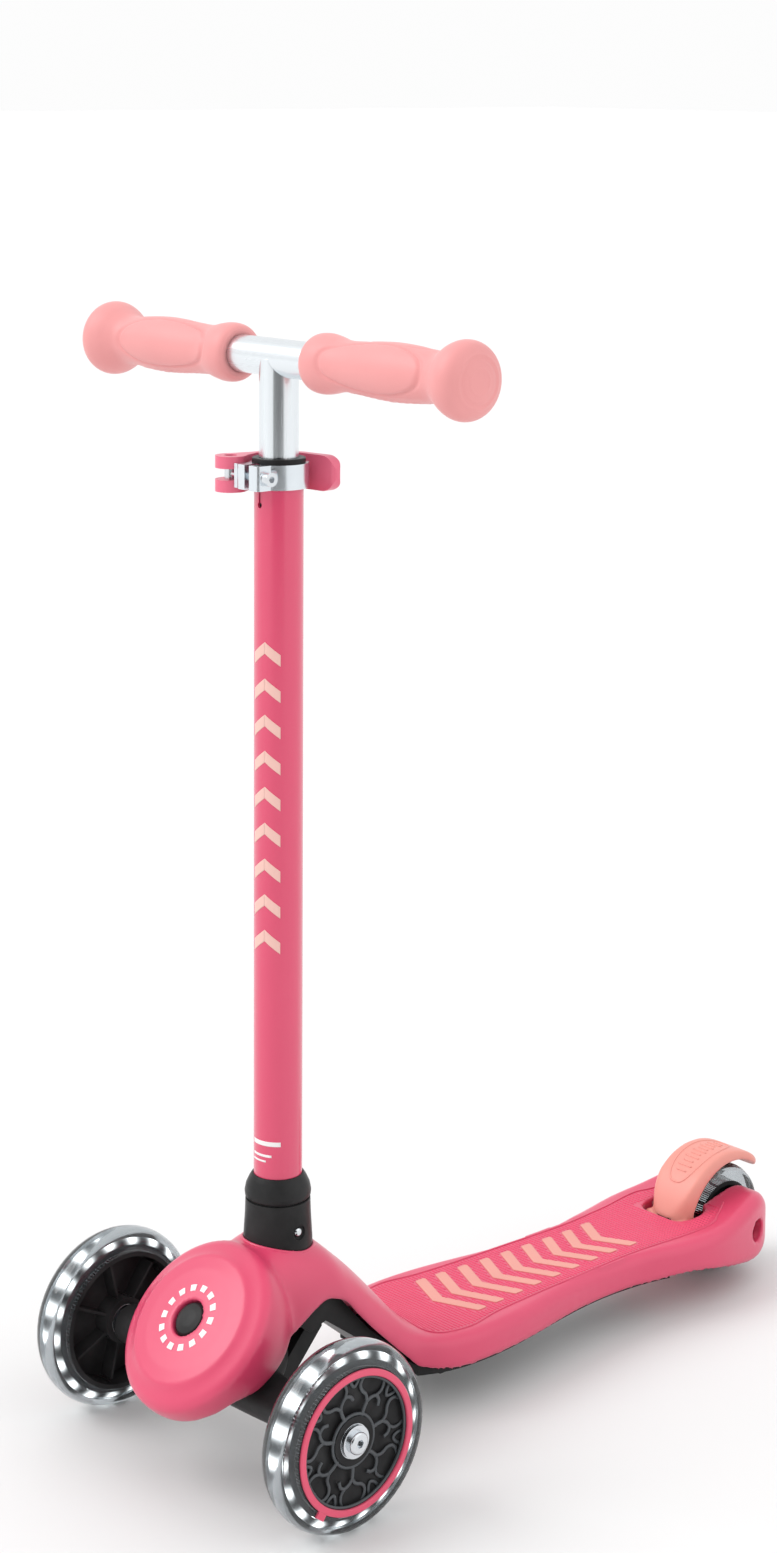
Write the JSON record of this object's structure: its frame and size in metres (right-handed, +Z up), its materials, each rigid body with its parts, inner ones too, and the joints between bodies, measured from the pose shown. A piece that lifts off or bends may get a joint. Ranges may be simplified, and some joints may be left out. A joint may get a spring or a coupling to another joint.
{
  "type": "kick scooter",
  "caption": "Child's lean-to-steer kick scooter: light-up front wheels on a pivoting truck, moulded deck, telescopic handlebar with quick-release clamp, and a rear foot brake.",
  "frame": {"origin": "middle of the footprint, on the ground", "axes": "+Z up, -Y the way it rides (front truck), +X the rider's left, along the axles and the handlebar"},
  "size_m": [0.3702, 0.5749, 0.7438],
  "materials": {
    "body_pink": "satin moulded plastic, raspberry pink",
    "salmon": "soft matt rubber, salmon",
    "brake_salmon": "satin moulded plastic, salmon",
    "inlay_salmon": "matt moulded inlay, salmon",
    "tube_pink": "gloss powder coat, raspberry pink",
    "black_plastic": "satin glass-filled nylon, black",
    "hub_black": "satin nylon, black",
    "lever_pink": "satin moulded plastic, pink",
    "tube_silver": "bead-blasted anodised, silver",
    "clamp_silver": "polished, silver",
    "steel": "zinc-plated steel, bright",
    "spring_steel": "spring steel",
    "button_steel": "polished steel",
    "bearing_steel": "ground steel",
    "bush": "acetal, off-white",
    "magnet": "ferrite, dark grey",
    "tyre_clear": "clear polyurethane",
    "light_carrier": "translucent grey polycarbonate",
    "led": "white light-emitting lens"
  },
  "bodies": {
    "deck": {"deck_shell": "body_pink", "neck_frame": "black_plastic", "belly_pan": "black_plastic", "belly_screws": "spring_steel", "tread_inlay": "inlay_salmon", "column_socket": "black_plastic", "collar_cap": "black_plastic", "outer_tube": "tube_pink", "clamp_sleeve": "black_plastic", "clamp_band": "clamp_silver", "clamp_bolt": "steel", "clamp_washers": "steel", "clamp_barrel": "steel", "column_spring": "spring_steel", "pivot_shaft": "steel", "pivot_nut": "steel", "centering_spring": "spring_steel", "lock_spring": "spring_steel", "rear_spacers": "steel", "rear_axle": "steel", "rear_nut": "steel", "brake_pin": "steel", "brake_spring": "spring_steel"},
    "handlebar": {"inner_tube": "tube_silver", "crossbar": "tube_silver", "grip_left": "salmon", "grip_right": "salmon", "tube_plug": "bush", "height_spring": "spring_steel"},
    "height_catch": {"height_button": "button_steel"},
    "column_catch": {"column_button": "button_steel"},
    "steering_lock": {"lock_button": "black_plastic"},
    "quick_release": {"clamp_lever": "lever_pink"},
    "truck": {"truck_beam": "black_plastic", "pivot_bushes": "bush", "axle_spacers": "steel", "axle_bolt_left": "steel", "axle_bolt_right": "steel", "dynamo_core_left": "magnet", "dynamo_core_right": "magnet"},
    "wheel_left": {"tyre_left": "tyre_clear", "hub_left": "hub_black", "trim_ring_left": "body_pink", "light_ring_left": "light_carrier", "leds_left": "led", "bearings_left": "bearing_steel"},
    "wheel_right": {"tyre_right": "tyre_clear", "hub_right": "hub_black", "trim_ring_right": "body_pink", "light_ring_right": "light_carrier", "leds_right": "led", "bearings_right": "bearing_steel"},
    "wheel_rear": {"rear_tyre": "tyre_clear", "rear_hub": "hub_black", "rear_bearings": "bearing_steel"},
    "foot_brake": {"brake_lever": "brake_salmon"}
  },
  "joints": [
    {"name": "handlebar_height", "type": "slide", "parent": "deck", "child": "handlebar", "axis": [0, 0, 1], "range_m": [0, 0.1875]},
    {"name": "height_button_press", "type": "slide", "parent": "handlebar", "child": "height_catch", "axis": [0, 1, 0], "range_m": [0, 0.003], "stiffness_N_per_m": 150},
    {"name": "column_button_press", "type": "slide", "parent": "deck", "child": "column_catch", "axis": [-1, 0, 0], "range_m": [0, 0.003], "stiffness_N_per_m": 300},
    {"name": "steering_lock_press", "type": "slide", "parent": "deck", "child": "steering_lock", "axis": [0, 0.7431, -0.6691], "range_m": [0, 0.0035], "stiffness_N_per_m": 400},
    {"name": "quick_release_turn", "type": "hinge", "parent": "deck", "child": "quick_release", "pos_m": [-0.024, -0.20175, 0.6445], "axis": [0, 0, 1], "range_deg": [0, 150]},
    {"name": "lean_steer", "type": "hinge", "parent": "deck", "child": "truck", "pos_m": [0, -0.25175, 0.102], "axis": [0, -0.7431, 0.6691], "range_deg": [-15, 15], "stiffness_Nm_per_rad": 40},
    {"name": "front_left_spin", "type": "hinge", "parent": "truck", "child": "wheel_left", "pos_m": [0.118, -0.22675, 0.0605], "axis": [1, 0, 0], "continuous": true},
    {"name": "front_right_spin", "type": "hinge", "parent": "truck", "child": "wheel_right", "pos_m": [-0.118, -0.22675, 0.0605], "axis": [1, 0, 0], "continuous": true},
    {"name": "rear_spin", "type": "hinge", "parent": "deck", "child": "wheel_rear", "pos_m": [0, 0.24725, 0.04], "axis": [1, 0, 0], "continuous": true},
    {"name": "brake_press", "type": "hinge", "parent": "deck", "child": "foot_brake", "pos_m": [0, 0.19625, 0.046], "axis": [-1, 0, 0], "range_deg": [0, 4], "stiffness_Nm_per_rad": 4}
  ]
}
